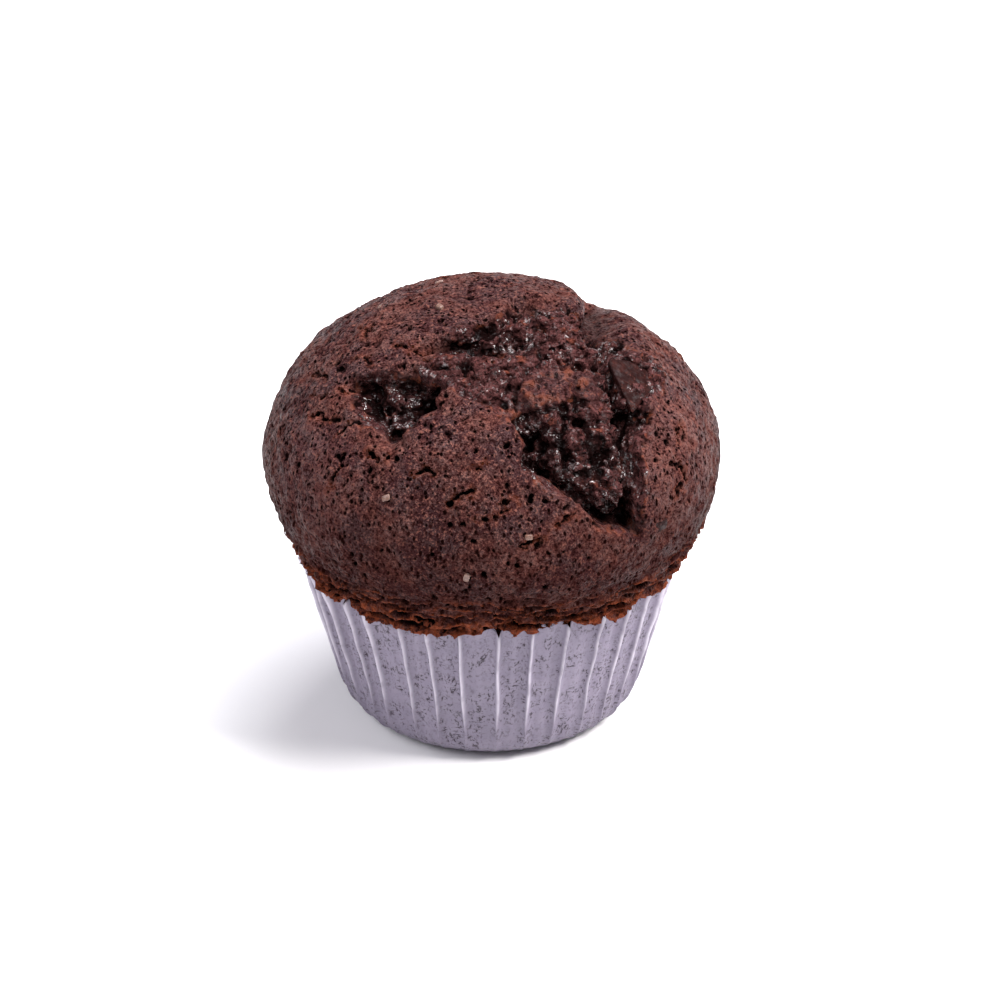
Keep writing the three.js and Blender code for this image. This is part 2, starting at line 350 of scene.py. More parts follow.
def on_crown(p):
    """Each point moved along its ray from the crown's middle onto the smooth crown."""
    q = p - np.array([CROWN_SHIFT, 0, CROWN_LEVEL], np.float32)
    rise = np.where(q[:, 2] > 0, CROWN_RISE, CROWN_DROP)
    k = np.sqrt((q[:, 0] / CROWN_RADIUS) ** 2 + (q[:, 1] / CROWN_RADIUS) ** 2 + (q[:, 2] / rise) ** 2)
    q = q / np.maximum(k, 0.2)[:, None]
    return (q + np.array([CROWN_SHIFT, 0, CROWN_LEVEL])).astype(np.float32)


def scores(place, lines, profile):
    """Depth of lines cut into the crown at places on it; each line is (places, depth, width)."""
    total = np.zeros(len(place), np.float32)
    for places, deep, width in lines:
        line = crown_points(places)
        reach = 2.5 * width
        close = np.all((place > line.min(0) - reach) & (place < line.max(0) + reach), axis=1)
        total[close] += deep * profile(line_distance(place[close], line) / width)
    return total


def tears(p):
    """Depth of the tears at each point, and how torn its surface is."""
    depth = np.zeros(len(p), np.float32)
    torn = np.zeros(len(p), np.float32)
    close = p[:, 2] > CROWN_LEVEL - 6
    p = p[close]
    uv = unrolled(p)
    bend = np.stack([noise(p, 3.0, 11), noise(p, 3.0, 12)], 1) * 1.1
    bend += np.stack([noise(p, 1.2, 13), noise(p, 1.2, 14)], 1) * 0.6
    ragged = uv + bend
    inside = torn_inside(ragged)
    patchy = inside + 1.3 * noise(p, 3.4, 24) + 0.8 * noise(p, 1.4, 25)
    here = ramp(patchy, -0.7, 0.9)
    here *= 1 - 0.6 * ramp(from_dry(uv) + 2.2 * noise(p, 3.0, 33), 6.0, 2.0)
    deep = TEAR_DEPTH * ramp(inside, -0.5, 2.6)

    wall = ramp(crater_inside(ragged), -0.1, 0.9)
    along = ramp(from_corner(uv), 0, 8)
    crater = along * CRATER_DEPTH * np.exp(-((from_front(ragged) / 5.2) ** 2))
    right = CRATER_WALL_DEPTH * np.exp(-((from_right(ragged) / 4.0) ** 2))
    deep += wall * np.maximum(crater, right)
    here = np.maximum(here, wall)

    pit = pit_inside(ragged)
    deep += PIT_DEPTH * ramp(pit, -0.2, 1.6)
    here = np.maximum(here, ramp(pit, -0.3, 0.4))

    place = on_crown(p) + 0.8 * bend[:, [0, 1, 0]]
    deep += scores(place, FURROWS, lambda away: np.exp(-(away**2)))
    depth[close], torn[close] = deep, here
    return depth, torn


def crack_depth(p):
    """Depth of the crust's short open cracks, and how near each point is to one."""
    wobble = np.stack([noise(p, 1.3, 21), noise(p, 1.3, 22), noise(p, 1.3, 23)], 1) * 0.6
    wobble += np.stack([noise(p, 0.6, 26), noise(p, 0.6, 27), noise(p, 0.6, 28)], 1) * 0.45
    place = on_crown(p) + wobble
    depth = scores(place, CRACKS, lambda away: ramp(away, 1.25, 0.45))
    depth *= 0.3 + 0.7 * ramp(noise(p, 1.5, 30), -0.6, 0.0)
    wide = [(places, 1.0, width * 2.6) for places, _, width in CRACKS]
    return depth, np.minimum(scores(place, wide, lambda away: ramp(away, 1.0, 0.4)), 1)


def carve_holes(field, p, size, seed, share, largest, amount):
    """Cuts round holes at scattered seeds; share of the seeds have one, up to that radius."""
    distance, number = cells(p, size, seed)
    radius = largest * amount * np.clip((number - (1 - share)) / share, 0, 1) ** 0.6
    return np.where(radius > 0.05, np.maximum(field, radius - distance), field)


def broad_field(p):
    """The crown with its broad lumps and tears, and how torn and how deep each point is."""
    depth, torn = tears(p)
    lumps = 0.55 * noise(p, 15.0, 1) + 0.28 * noise(p, 6.0, 2)
    return smooth_crown(p) + lumps + depth, torn, depth


def lip_layers(p, azimuth):
    """Crinkled sheets that overlap downwards round the crown's lowest part, and their rusty edges,
    partly painted highlight.
    """
    z = p[:, 2]
    round_it = np.stack([azimuth * 0.6, z * 1.6, 0 * z], 1).astype(np.float32)
    wavy = z + 1.2 * noise(round_it, 6.0, 8) + 0.7 * noise(round_it, 2.4, 9) + 0.35 * noise(p, 1.0, 17)
    turn = wavy / SHEET_SPACING
    sheet = turn - np.floor(turn)
    amount = 1 - ramp(z + 1.6 * noise(round_it, 9.0, 18), RIM_HEIGHT + 4.0, RIM_HEIGHT + 9.0)
    broken = ramp(noise(round_it, 3.2, 19), -0.5, 0.2)
    # The sheets are deepest across the front, and none cuts in as far as the paper.
    frontal = 0.55 + 0.45 * ramp(np.abs(azimuth - 5), 85, 55)
    relief = amount * frontal * (0.25 + 0.75 * broken) * 2.4 * (sheet - 0.34)
    relief += amount * frontal * (0.42 * noise(p, 1.5, 10) + 0.36 * noise(p, 0.8, 20))
    relief = np.minimum(relief, 0.4 + 1.6 * ramp(z, RIM_HEIGHT - 0.5, RIM_HEIGHT + 1.2))
    # The sheets' lower edges: rust-orange, partly painted highlight.
    edge = amount * (1 - ramp(sheet, 0.05, 0.35))
    return relief.astype(np.float32), edge.astype(np.float32)


def fine_field(p, broad, torn, depth):
    """Adds the fine relief to the broad field. Also returns the relief alone, and the rusty edges,
    which are partly painted highlight.
    """
    azimuth = np.degrees(np.arctan2(p[:, 0], -p[:, 1]))
    radius = np.hypot(p[:, 0], p[:, 1])
    z = p[:, 2]
    cracks, near_crack = crack_depth(p)
    cracks = (cracks - 0.12 * near_crack) * (1 - torn)

    # Crust: low bumps and small deep pits.
    crust = 0.24 * noise(p, 2.4, 3) + 0.26 * noise(p, 0.9, 4)
    spot = on_crown(p)
    away, number = cells(spot + 0.35 * noise(p, 0.8, 52)[:, None], 1.6, 51)
    crowd = ramp(noise(spot, 7.0, 53), -0.5, 0.4)
    pit = np.clip((number - 0.3) / 0.7, 0, 1) ** 1.5 * (0.35 + 0.45 * crowd)
    crust += 1.2 * (1 - ramp(away, 0.5 * pit, pit + 0.12)) * (pit > 0.1)
    # Torn crumb: grains of two sizes heaped in clumps, with hollows between them.
    warp = np.stack([noise(p, 1.5, 34), noise(p, 1.5, 35), noise(p, 1.5, 36)], 1)
    clump, _ = cells(p + 0.9 * warp, 3.1, 31)
    grain, _ = cells(p + 0.55 * warp[:, ::-1], 1.3, 41)
    crumb = 0.66 * (clump - 1.5) + 1.10 * (grain - 0.60)
    crumb += 0.9 * noise(p, 4.5, 5) + 0.40 * noise(p, 0.8, 6)
    crumb += 0.8 * (np.abs(noise(p, 2.0, 37)) - 0.3)
    layers, edge = lip_layers(p, azimuth)
    relief = cracks + (1 - torn) * crust + torn * crumb + layers

    field = broad + relief
    field = carve_holes(field, p, 4.8, 61, 0.30, 1.0, np.where(torn > 0.5, 1.4, 0.8))
    field = carve_holes(field, p, 2.8, 71, 0.55, 1.15, torn)

    ragged = lip_floor(azimuth) + 0.7 * noise(p, 3.2, 15) + 0.6 * noise(p, 1.4, 16)
    ragged += 0.35 * noise(p, 0.8, 29)
    field = np.maximum(field, ragged - z)
    inner = wall_radius(np.minimum(z, RIM_HEIGHT)) - STEM_GAP
    stem = np.maximum(np.maximum(radius - inner, STEM_FLOOR - z), z - RIM_HEIGHT - 1.5)
    edge = np.maximum(edge, 1 - ramp(z - ragged, 0.8, 2.4))
    edge = np.maximum(edge, 0.25 * near_crack * (1 - torn))
    # How deep each point lies in the tears, which the material turns into painted shade and wetter
    # gloss.
    sunk = np.clip(-(broad - depth) / 5.0, 0, 1)
    return np.minimum(field, stem).astype(np.float32), relief, edge, sunk


def surface_nets(field, xs, ys, zs):
    """Quads over the zero level of a field on a rectilinear grid, one vertex to a crossed cell."""
    shape = tuple(n - 1 for n in field.shape)
    inside = field < 0
    corners = [(i, j, k) for i in (0, 1) for j in (0, 1) for k in (0, 1)]

    def corner_view(array, corner):
        i, j, k = corner
        return array[i:i + shape[0], j:j + shape[1], k:k + shape[2]]

    count = sum(corner_view(inside, c).astype(np.int8) for c in corners)
    crossed = (count > 0) & (count < 8)
    cell = np.argwhere(crossed)
    index = np.full(shape, -1, np.int64)
    index[crossed] = np.arange(len(cell))

    value = {c: corner_view(field, c)[crossed] for c in corners}
    total = np.zeros((len(cell), 3))
    hits = np.zeros(len(cell))
    for a in corners:
        for axis in range(3):
            if a[axis]:
                continue
            b = tuple(1 if i == axis else a[i] for i in range(3))
            cut = (value[a] < 0) != (value[b] < 0)
            t = np.where(cut, value[a] / np.where(cut, value[a] - value[b], 1), 0)
            place = np.tile(np.array(a, float), (len(cell), 1))
            place[:, axis] = t
            total += place * cut[:, None]
            hits += cut
    local = total / hits[:, None]
    points = []
    for axis, levels in enumerate((xs, ys, zs)):
        start = levels[cell[:, axis]]
        points.append(start + local[:, axis] * (levels[cell[:, axis] + 1] - start))
    points = np.stack(points, 1)

    quads = []
    for axis in range(3):
        one, two = [i for i in range(3) if i != axis]
        size = list(field.shape)
        size[axis] -= 1
        first = np.take(inside, range(size[axis]), axis)
        second = np.take(inside, range(1, size[axis] + 1), axis)
        spot = np.argwhere(first != second)
        spot = spot[(spot[:, one] > 0) & (spot[:, two] > 0)]
        spot = spot[(spot[:, one] < field.shape[one] - 1) & (spot[:, two] < field.shape[two] - 1)]
        ring = []
        for step_one, step_two in ((-1, -1), (0, -1), (0, 0), (-1, 0)):
            near = spot.copy()
            near[:, one] += step_one
            near[:, two] += step_two
            ring.append(index[near[:, 0], near[:, 1], near[:, 2]])
        ring = np.stack(ring, 1)
        outward = inside[spot[:, 0], spot[:, 1], spot[:, 2]]
        flip = outward if axis == 1 else ~outward
        ring[flip] = ring[flip][:, ::-1]
        quads.append(ring)
    return points, np.vstack(quads)


def largest_part(points, quads):
    """Drops every loose crumb that isn't joined to the main body."""
    label = np.arange(len(points))
    while True:
        lowest = label[quads].min(1)
        previous = label.copy()
        for corner in range(4):
            np.minimum.at(label, quads[:, corner], lowest)
        label = label[label]
        if (label == previous).all():
            break
    main = np.bincount(label[quads[:, 0]]).argmax()
    quads = quads[label[quads[:, 0]] == main]
    used, renumbered = np.unique(quads, return_inverse=True)
    return points[used], renumbered.reshape(-1, 4)


def stepped(start, end, fine, coarse_step, fine_step):
    """Grid levels from start to end, closer together inside the fine stretch."""
    before = np.arange(start, fine[0], coarse_step)
    middle = np.arange(fine[0], fine[1], fine_step)
    after = np.arange(fine[1], end + coarse_step, coarse_step)
    return np.concatenate([before, middle, after]).astype(np.float32)


def add_bake_map(mesh, chart):
    """Adds a UV map named OFBake; chart gives each corner's place from its point."""
    layer = mesh.uv_layers.new(name="OFBake")
    points = np.empty(len(mesh.vertices) * 3, np.float32)
    mesh.vertices.foreach_get("co", points)
    corner = np.empty(len(mesh.loops), np.int32)
    mesh.loops.foreach_get("vertex_index", corner)
    start = np.empty(len(mesh.polygons), np.int32)
    mesh.polygons.foreach_get("loop_start", start)
    count = np.empty(len(mesh.polygons), np.int32)
    mesh.polygons.foreach_get("loop_total", count)
    points = points.reshape(-1, 3)[corner] / MM
    middle = np.add.reduceat(points, start) / count[:, None]
    uv = chart(points, np.repeat(middle, count, 0))
    layer.data.foreach_set("uv", np.ascontiguousarray(uv, np.float32).ravel())


def cake_chart(points, middles):
    """The part above the case on one disc, and the part inside it on a small one."""
    eye = np.array([CROWN_SHIFT, 0, 36])
    q = points - eye
    fall = np.degrees(np.arctan2(np.hypot(q[:, 0], q[:, 1]), q[:, 2]))
    turn = np.arctan2(q[:, 1], q[:, 0])
    shown = middles[:, 2] > CROWN_FROM
    spread = np.where(shown, fall / 112 * 0.40, (180 - fall) / 90 * 0.09)
    centre = np.where(shown, 0.41, 0.90)
    return np.stack([centre + spread * np.cos(turn), centre + spread * np.sin(turn)], 1)


def make_cake():
    """The whole cake as one mesh, with masks for its material kept on its points."""
    reach = CROWN_RADIUS + GRID_MARGIN
    xs = stepped(-reach, reach, FINE_X, WIDE_STEP, FINE_STEP)
    ys = stepped(-reach, reach, FINE_Y, WIDE_STEP, FINE_STEP)
    hidden = np.arange(-1.0, CROWN_FROM, HIDDEN_STEP, dtype=np.float32)
    zs = stepped(CROWN_FROM, CROWN_TOP + GRID_MARGIN, FINE_Z, WIDE_STEP, FINE_STEP)
    zs = np.concatenate([hidden, zs])
    grid = np.stack(np.meshgrid(xs, ys, zs, indexing="ij"), -1)
    shape = grid.shape[:3]
    p = grid.reshape(-1, 3)

    # A rough field picks the points worth a broad field, and that picks those worth a fine one.
    radius = np.hypot(p[:, 0], p[:, 1])
    inner = wall_radius(np.clip(p[:, 2], 0, RIM_HEIGHT)) - STEM_GAP
    stem = np.maximum(np.maximum(radius - inner, STEM_FLOOR - p[:, 2]), p[:, 2] - RIM_HEIGHT)
    field = np.minimum(np.maximum(smooth_crown(p), CROWN_FROM - p[:, 2]), stem)
    torn_side = torn_inside(unrolled(p)) > -3
    near = np.flatnonzero((field < 3) & (field > np.where(torn_side, -12, -5)))
    broad, torn, depth = broad_field(p[near])
    thin = (np.abs(broad) < 3) | (p[near, 2] < RIM_HEIGHT + 4)
    field[near] = broad
    near, broad, torn, depth = near[thin], broad[thin], torn[thin], depth[thin]
    field[near] = fine_field(p[near], broad, torn, depth)[0]

    points, quads = surface_nets(field.reshape(shape), xs, ys, zs)
    points, quads = largest_part(points, quads)
    place = points.astype(np.float32)
    broad, torn, depth = broad_field(place)
    _, relief, edge, sunk = fine_field(place, broad, torn, depth)
    mesh = bpy.data.meshes.new("cake")
    mesh.from_pydata((points * MM).tolist(), [], quads.tolist())
    low = 1 - ramp(place[:, 2], RIM_HEIGHT + 1, RIM_HEIGHT + 7)
    # Masks for the material: the crease and sunk masks drive painted shade, and the rust-orange mask is
    # partly painted highlight.
    masks = {"torn": torn, "sunk": sunk, "crease": relief, "rust_and_sheet_highlight": edge, "low": low}
    for name, value in masks.items():
        layer = mesh.attributes.new(name, "FLOAT", "POINT")
        layer.data.foreach_set("value", np.ascontiguousarray(value, np.float32))
    mesh.update()
    add_bake_map(mesh, cake_chart)
    return add_piece("muffin_cake", mesh, cake_material(), "crumb", "cake")


def add_piece(name, mesh, material, slot, *nodes):
    """A smooth-shaded piece that rides on the root body in place of its CAD nodes."""
    mesh.polygons.foreach_set("use_smooth", np.ones(len(mesh.polygons), bool))
    piece = bpy.data.objects.new(name, mesh)
    bpy.context.scene.collection.objects.link(piece)
    mesh.materials.append(material)
    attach(piece, "root")
    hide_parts(*nodes)
    return piece


# ---- Materials ----


def srgb(red, green, blue):
    """Linear RGBA for screen values from 0 to 255."""
    linear = []
    for level in (red, green, blue):
        share = level / 255
        linear.append(((share + 0.055) / 1.055) ** 2.4 if level > 10 else share / 12.92)
    return (*linear, 1)


class Shader:
    """A material's node tree, with short calls for the nodes used here."""

    def __init__(self, name):
        self.material = bpy.data.materials.new(name)
        self.material.use_nodes = True
        self.tree = self.material.node_tree
        self.surface = self.tree.nodes["Principled BSDF"]
        self.place = self.add("ShaderNodeTexCoord").outputs["Object"]

    def add(self, kind, **settings):
        node = self.tree.nodes.new(kind)
        for name, value in settings.items():
            setattr(node, name, value)
        return node

    def put(self, socket, value):
        if isinstance(value, bpy.types.NodeSocket):
            self.tree.links.new(value, socket)
        else:
            socket.default_value = value

    def noise(self, size, detail=2.0, roughness=0.5, place=None):
        """Noise from 0 to 1 with features of that many millimetres."""
        node = self.add("ShaderNodeTexNoise")
        self.put(node.inputs["Vector"], place or self.place)
        node.inputs["Scale"].default_value = 1 / (size * MM)
        node.inputs["Detail"].default_value = detail
        node.inputs["Roughness"].default_value = roughness
        return node.outputs["Fac"]

    def cells(self, size, place=None):
        """Distance to the nearest of scattered points that many millimetres apart."""
        node = self.add("ShaderNodeTexVoronoi")
        self.put(node.inputs["Vector"], place or self.place)
        node.inputs["Scale"].default_value = 1 / (size * MM)
        return node.outputs["Distance"]

    def attribute(self, name):
        return self.add("ShaderNodeAttribute", attribute_name=name).outputs["Fac"]

    def math(self, operation, *values):
        node = self.add("ShaderNodeMath", operation=operation)
        for socket, value in zip(node.inputs, values):
            self.put(socket, value)
        return node.outputs[0]

    def range(self, value, low, high, start=0.0, end=1.0):
        """Maps low..high to start..end, smoothly and within those limits."""
        node = self.add("ShaderNodeMapRange", interpolation_type="SMOOTHSTEP")
        for socket, amount in zip(node.inputs, (value, low, high, start, end)):
            self.put(socket, amount)
        return node.outputs[0]

    def distance(self, x, y, z):
        """Distance, in metres, to a point given in millimetres."""
        node = self.add("ShaderNodeVectorMath", operation="DISTANCE")
        self.put(node.inputs[0], self.place)
        node.inputs[1].default_value = (x * MM, y * MM, z * MM)
        return node.outputs["Value"]

    def squashed(self, scale):
        """The piece's own coordinates, scaled along each axis."""
        node = self.add("ShaderNodeMapping")
        self.put(node.inputs["Vector"], self.place)
        node.inputs["Scale"].default_value = scale
        return node.outputs[0]

    def blend(self, amount, one, two):
        """A number that goes from one to two."""
        node = self.add("ShaderNodeMix")
        for socket, value in zip(node.inputs[0:1] + node.inputs[2:4], (amount, one, two)):
            self.put(socket, value)
        return node.outputs[0]

    def mix(self, amount, one, two):
        """A colour that goes from one to two."""
        node = self.add("ShaderNodeMix", data_type="RGBA")
        for socket, value in zip(node.inputs[0:1] + node.inputs[6:8], (amount, one, two)):
            self.put(socket, value)
        return node.outputs[2]

    def bump(self, height, distance, strength):
        node = self.add("ShaderNodeBump")
        self.put(node.inputs["Height"], height)
        node.inputs["Distance"].default_value = distance * MM
        node.inputs["Strength"].default_value = strength
        return node.outputs[0]

    def finish(self, **sockets):
        for name, value in sockets.items():
            self.put(self.surface.inputs[name.replace("_", " ")], value)
        return self.material


# Broad patches of the crust, darker or paler: place, radius, strength and colour.
CRUST_PATCHES = [
    ((-4.5, -35.5, 56.5), 11, 0.45, (38, 20, 24)),
    ((-30.5, -21.7, 52.0), 12, 0.32, (112, 72, 72)),
    ((31.3, -19.3, 55.6), 12, 0.30, (122, 78, 72)),
]


def cake_material():
    s = Shader("baked_cake")
    torn, sunk, rust_and_sheet_highlight = s.attribute("torn"), s.attribute("sunk"), s.attribute("rust_and_sheet_highlight")
    crease, low = s.attribute("crease"), s.attribute("low")
    squashed = s.squashed((1, 1, 0.6))

    broad = s.noise(7, 3)
    fine = s.noise(1.0, 5, 0.7)
    grit = s.noise(0.42, 3, 0.7)
    coarse = s.math("MULTIPLY", s.noise(0.7, 3, 0.65), 0.55)
    grain = s.math("MULTIPLY_ADD", s.noise(0.33, 2, 0.6), 0.45, coarse)
    crust = s.mix(s.range(broad, 0.40, 0.60), srgb(62, 36, 38), srgb(84, 48, 44))
    for place, size, strength, tint in CRUST_PATCHES:
        away = s.math("MULTIPLY_ADD", s.noise(5, 3), 8 * MM, s.distance(*place))
        amount = s.range(away, (size + 8) * MM, (size - 3) * MM, 0, strength)
        crust = s.mix(amount, crust, srgb(*tint))
    # Grain speckle is partly the crust's own colour and partly painted light: grains the bump raises
    # are painted paler as highlight, those it sinks dark red as shade.
    crust = s.mix(s.range(grain, 0.51, 0.63), crust, srgb(124, 78, 68))
    crust = s.mix(s.range(grain, 0.50, 0.39), crust, srgb(34, 12, 10))
    # Painted shade: near-black in the small pores, which are pits only in the bump.
    pores = s.range(s.cells(0.95, place=squashed), 0.34, 0.20)
    pores = s.math("MULTIPLY", pores, s.range(s.noise(2.4, 3), 0.40, 0.50))
    crust = s.mix(pores, crust, srgb(10, 3, 3))
    # Painted shade: the crust is painted darker towards its bottom, which faces away from the lamps
    # above.
    level = s.add("ShaderNodeSeparateXYZ")
    s.put(level.inputs[0], s.place)
    lower = s.range(level.outputs["Z"], 36 * MM, 62 * MM, 1, 0)
    crust = s.mix(s.math("MULTIPLY", lower, 0.6), crust, srgb(42, 15, 12))

    crumb = s.mix(s.range(fine, 0.35, 0.7), srgb(42, 21, 21), srgb(88, 54, 53))
    crumb = s.mix(s.range(s.noise(2.2, 3), 0.57, 0.74), crumb, srgb(98, 50, 38))
    crumb = s.mix(s.range(grit, 0.50, 0.36), crumb, srgb(16, 6, 6))
    colour = s.mix(torn, crust, crumb)
    # Painted shade: near-black where the fine relief cuts deepest, in cracks, pits, hollows of the
    # crumb and under the lip's sheets.
    colour = s.mix(s.range(crease, 0.05, 0.95, 0, 0.95), colour, srgb(8, 3, 3))
    broken = s.math("MULTIPLY", torn, s.math("SUBTRACT", 1.0, torn))
    broken = s.math("MULTIPLY", s.range(broken, 0.05, 0.25), s.range(s.noise(2.0, 2), 0.48, 0.64))
    colour = s.mix(s.math("MULTIPLY", broken, 0.6), colour, srgb(112, 60, 44))
    # Rust-orange: the crust's own colour along the lip's lowest edge, in streaks low down and beside
    # cracks; on the lower edges of the lip's sheets it is partly painted highlight. It fades where the
    # relief cuts deep.
    lowest = s.math("MULTIPLY", low, s.range(s.noise(3.5, 3), 0.45, 0.70, 0, 0.4))
    rust_and_highlight = s.math("MULTIPLY", rust_and_sheet_highlight, s.range(fine, 0.35, 0.6))
    rust_and_highlight = s.math("MULTIPLY", s.math("MAXIMUM", rust_and_highlight, lowest), s.range(crease, 0.9, 0.2, 0, 0.75))
    colour = s.mix(rust_and_highlight, colour, srgb(150, 76, 48))
    # Painted shade: the crumb is painted darker the deeper it lies in the crater and the pit.
    colour = s.mix(s.range(sunk, 0.3, 0.95, 0, 0.45), colour, srgb(14, 6, 6))

    dry = s.range(s.noise(1.6, 2), 0.3, 0.7, 0.40, 0.58)
    moist = s.range(s.noise(1.2, 2), 0.35, 0.65, 0.12, 0.28)
    rough = s.blend(torn, dry, moist)
    glint = s.range(s.noise(3.0, 4, 0.7), 0.40, 0.62, 0.03, 0.26)
    glint = s.math("MULTIPLY", glint, s.math("MULTIPLY_ADD", lower, -0.65, 1.0))
    glint = s.math("MULTIPLY", glint, s.range(grain, 0.42, 0.52, 0.1, 1))
    glint = s.math("MULTIPLY", glint, s.math("SUBTRACT", 1.0, pores))
    moisture = s.math("MULTIPLY_ADD", s.range(sunk, 0.1, 0.5), 0.05, s.noise(1.3, 3, 0.6))
    wet = s.range(moisture, 0.51, 0.64, 0.04, 0.85)
    patch = s.math("MAXIMUM", s.range(s.noise(5.5, 2), 0.38, 0.60, 0.15, 0.85), s.range(sunk, 0.1, 0.4))
    glint = s.blend(torn, glint, s.math("MULTIPLY", wet, patch))
    gritty = s.math("MULTIPLY_ADD", grain, 1.2, fine)
    gritty = s.math("MULTIPLY_ADD", pores, -0.8, gritty)
    height = s.blend(torn, gritty, s.math("MULTIPLY", s.noise(1.1, 1.5, 0.5), 1.6))
    return s.finish(
        Base_Color=colour,
        Roughness=rough,
        Specular_IOR_Level=s.math("MULTIPLY", glint, s.range(crease, 0.9, -0.1, 0.1, 1)),
        Normal=s.bump(height, 0.85, 1.0),
    )


def paper_material():
    s = Shader("greaseproof_paper")
    crest = s.attribute("crest")
    pale = s.mix(s.noise(5, 2), srgb(117, 109, 126), srgb(135, 127, 144))
    upright = s.range(s.noise(0.50, 3, 0.6, s.squashed((1, 1, 0.5))), 0.53, 0.66)
    leaning = s.range(s.noise(0.45, 3, 0.6, s.squashed((0.5, 0.7, 1))), 0.54, 0.67)
    group = s.range(s.noise(3.0, 3, 0.6), 0.42, 0.58, 0.15, 1)
    specks = s.math("MULTIPLY", s.math("MAXIMUM", upright, leaning), group)
    specks = s.math("MULTIPLY", specks, s.range(crest, 0.5, 0.0))
    strokes = s.range(s.noise(0.5, 3, 0.7, s.squashed((1, 1, 0.5))), 0.48, 0.62, 0, 0.6)
    smudge = s.range(s.noise(1.8, 4, 0.6), 0.50, 0.68, 0.2, 1.0)
    colour = s.mix(s.math("MULTIPLY", strokes, smudge), pale, srgb(88, 79, 96))
    colour = s.mix(specks, colour, srgb(46, 36, 46))
    for x, y, z, size in CRUMBS_ON_PAPER:
        blurred = s.math("MULTIPLY_ADD", s.noise(0.7, 3), 0.9 * MM, s.distance(x, y, z))
        colour = s.mix(s.range(blurred, (size + 0.6) * MM, (size + 0.2) * MM), colour, srgb(84, 54, 46))
    bright = s.range(s.noise(2.5, 3), 0.3, 0.6, 0.45, 0.85)
    colour = s.mix(s.math("MULTIPLY", s.range(crest, 0.2, 0.9), bright), colour, srgb(204, 198, 210))
    return s.finish(
        Base_Color=colour,
        Roughness=s.range(s.noise(2, 2), 0.3, 0.7, 0.55, 0.75),
        Normal=s.bump(s.noise(1.2, 3), 0.15, 0.5),
    )


def chocolate_material():
    s = Shader("dark_chocolate")
    bloom = s.range(s.noise(1.8, 4, 0.65), 0.45, 0.75)
    colour = s.mix(bloom, srgb(30, 12, 11), srgb(54, 27, 24))
    stuck = s.range(s.noise(1.5, 4, 0.7), 0.56, 0.64)
    colour = s.mix(stuck, colour, srgb(74, 42, 38))
    return s.finish(
        Base_Color=colour,
        Roughness=s.range(s.noise(0.8, 2), 0.3, 0.7, 0.3, 0.5),
        Specular_IOR_Level=s.range(s.noise(1.1, 3), 0.45, 0.7, 0.04, 0.22),
        Normal=s.bump(s.math("MULTIPLY_ADD", stuck, 0.8, s.noise(0.8, 4, 0.6)), 0.4, 0.9),
    )


def sugar_material():
    s = Shader("coarse_sugar")
    colour = s.mix(s.noise(0.5, 2), srgb(84, 58, 50), srgb(132, 104, 92))
    s.surface.inputs["Subsurface Weight"].default_value = 0.3
    s.surface.inputs["Subsurface Radius"].default_value = (0.0008, 0.0005, 0.0004)
    s.surface.inputs["Subsurface Scale"].default_value = 1.0
    return s.finish(
        Base_Color=colour,
        Roughness=s.range(s.noise(0.4, 2), 0.3, 0.7, 0.15, 0.4),
        Normal=s.bump(s.noise(0.4, 2), 0.08, 0.5),
    )


# ---- Paper case ----

# Azimuths of the ridges across the front; the others are evenly spaced with a little scatter.
FRONT_RIDGES = [-57, -47, -39.5, -27.5, -18.5, -9, 2.5, 13, 23.5, 35.5, 46, 56]
PLEAT_STEPS = [0, 0.03, 0.06, 0.09, 0.14, 0.23, 0.36, 0.5, 0.64, 0.77, 0.86, 0.91, 0.94, 0.97]
PAPER_THICKNESS = 0.12
CORNER_ROWS = 7  # of faces up the rounded corner
WALL_ROWS = 34  # of faces up the wall
# Rusty crumbs stuck to the paper: x, y, z and radius.
CRUMBS_ON_PAPER = [(-27.0, -15.6, 17.0, 0.6), (-9.3, -30.6, 19.0, 0.5), (-18, -25.5, 21.5, 0.35)]


def ridge_azimuths():
    """Azimuth of every pleat's ridge, in degrees and rising from the first front one."""
    others = PLEAT_COUNT - len(FRONT_RIDGES)
    start, end = FRONT_RIDGES[-1], FRONT_RIDGES[0] + 360
    ridges = list(FRONT_RIDGES)
    for i in range(1, others + 1):
        scatter = 1.2 * math.sin(i * 12.9898)
        ridges.append(start + (end - start) * i / (others + 1) + scatter)
    return np.array(ridges)


